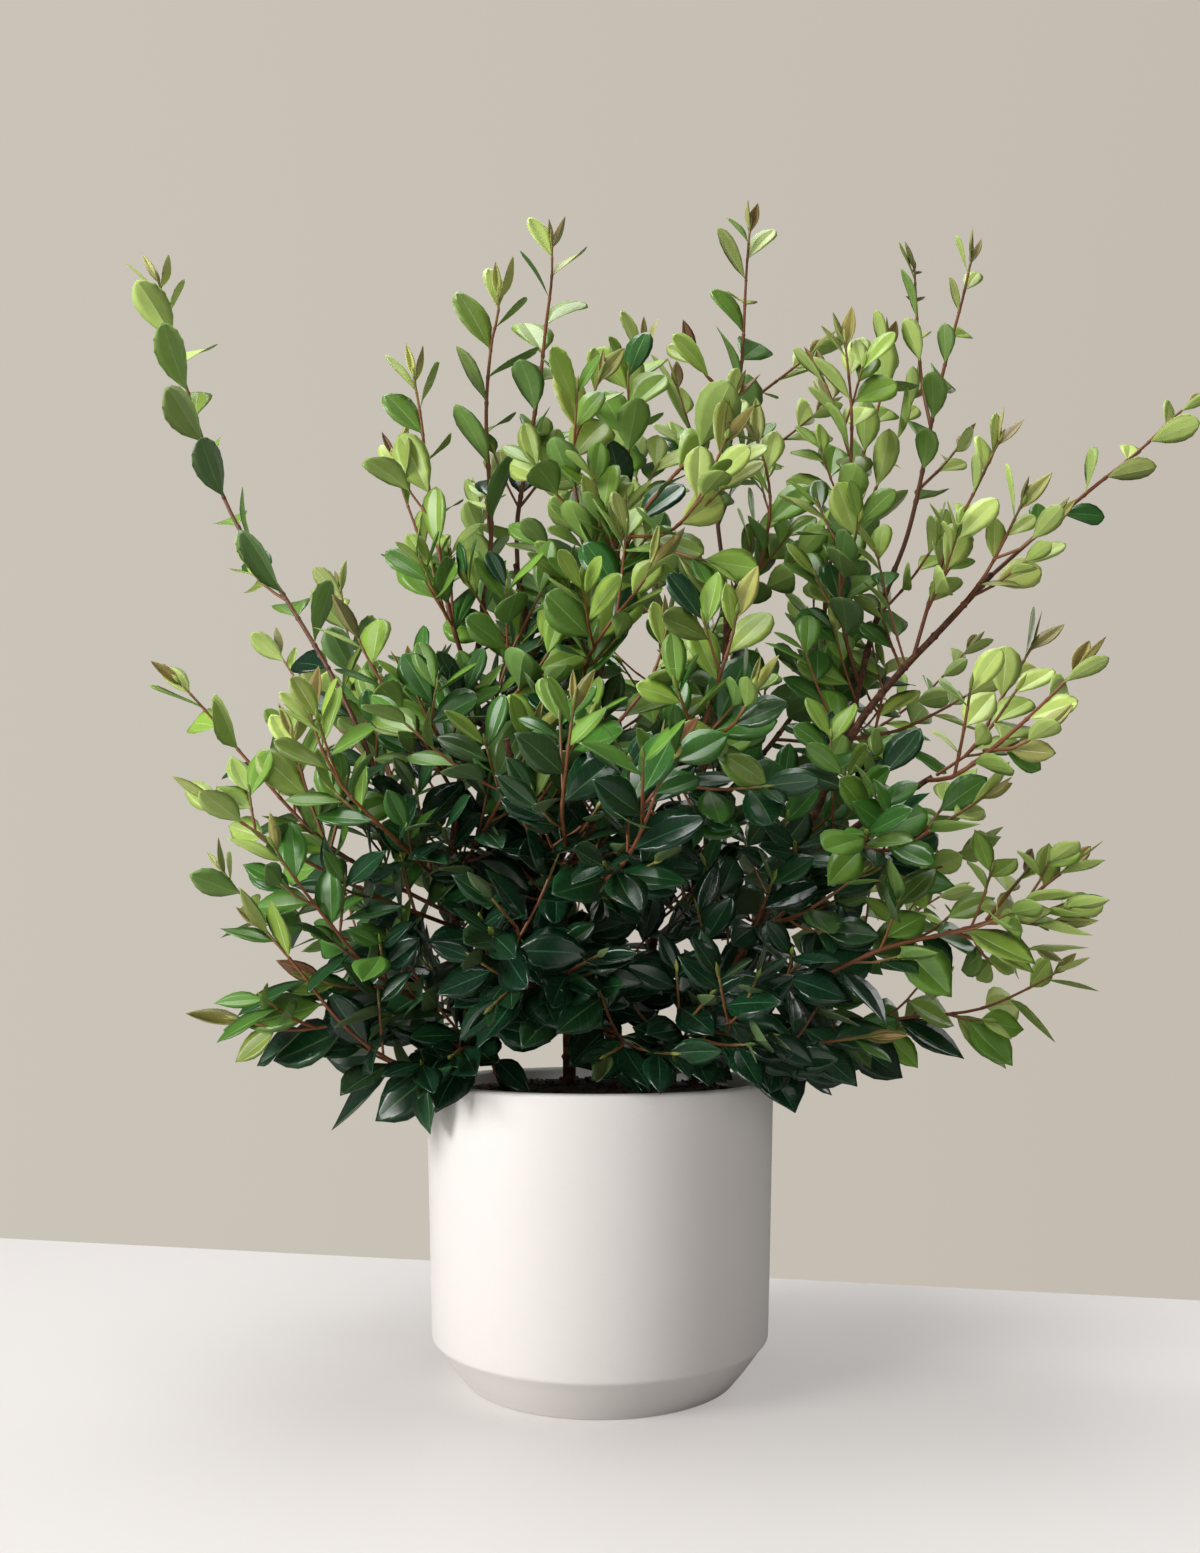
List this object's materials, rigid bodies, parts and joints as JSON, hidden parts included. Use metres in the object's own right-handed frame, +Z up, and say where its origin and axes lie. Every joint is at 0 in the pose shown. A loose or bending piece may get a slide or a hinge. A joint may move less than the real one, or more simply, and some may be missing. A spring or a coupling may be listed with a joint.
{
  "type": "potted camellia",
  "caption": "Small-leaved evergreen camellia shrub with upright leafy shoots, growing in a round white ceramic planter with a bevelled foot.",
  "frame": {"origin": "centre of the planter's underside, on the surface that it stands on", "axes": "+Z up along the planter's axis, +X to the right and +Y to the back as the picture shows the plant"},
  "size_m": [0.8896, 0.5896, 1.0179],
  "materials": {
    "planter": "matte warm-white ceramic, fine and even",
    "soil": "dark crumbly peat and bark potting mix",
    "bark": "smooth to finely cracked brown bark",
    "leaf": "glossy leathery leaf with a paler midrib and margin, matte below"
  },
  "bodies": {
    "root": {"back_crown": "leaf", "back_foot": "leaf", "back_left": "leaf", "back_left_top": "leaf", "back_low": "leaf", "back_low_left": "leaf", "back_low_right": "leaf", "back_right": "leaf", "back_right_top": "leaf", "back_wing": "leaf", "crown_centre": "leaf", "crown_fork": "leaf", "crown_left": "leaf", "crown_main": "leaf", "crown_mid": "leaf", "crown_right": "leaf", "crown_tall": "leaf", "far_left": "leaf", "far_right": "leaf", "front_bow": "leaf", "front_centre": "leaf", "front_cross": "leaf", "front_left": "leaf", "front_mid": "leaf", "front_nook": "leaf", "front_right": "leaf", "front_rise": "leaf", "front_thin": "leaf", "left_bright": "leaf", "left_crest": "leaf", "left_front": "leaf", "left_high": "leaf", "left_inner": "leaf", "left_low": "leaf", "left_mid": "leaf", "left_rear": "leaf", "left_top": "leaf", "low_front": "leaf", "low_left": "leaf", "low_mid": "leaf", "low_right": "leaf", "pot": "planter", "right_fan": "leaf", "right_hang": "leaf", "right_inner": "leaf", "right_long": "leaf", "right_low": "leaf", "right_mast": "leaf", "right_mid": "leaf", "right_pair": "leaf", "right_reach": "leaf", "right_rear": "leaf", "right_spur": "leaf", "right_tip": "leaf", "right_top": "leaf", "soil": "soil", "trunk_back": "bark", "trunk_left": "bark", "trunk_main": "bark", "trunk_right": "bark"}
  },
  "joints": []
}
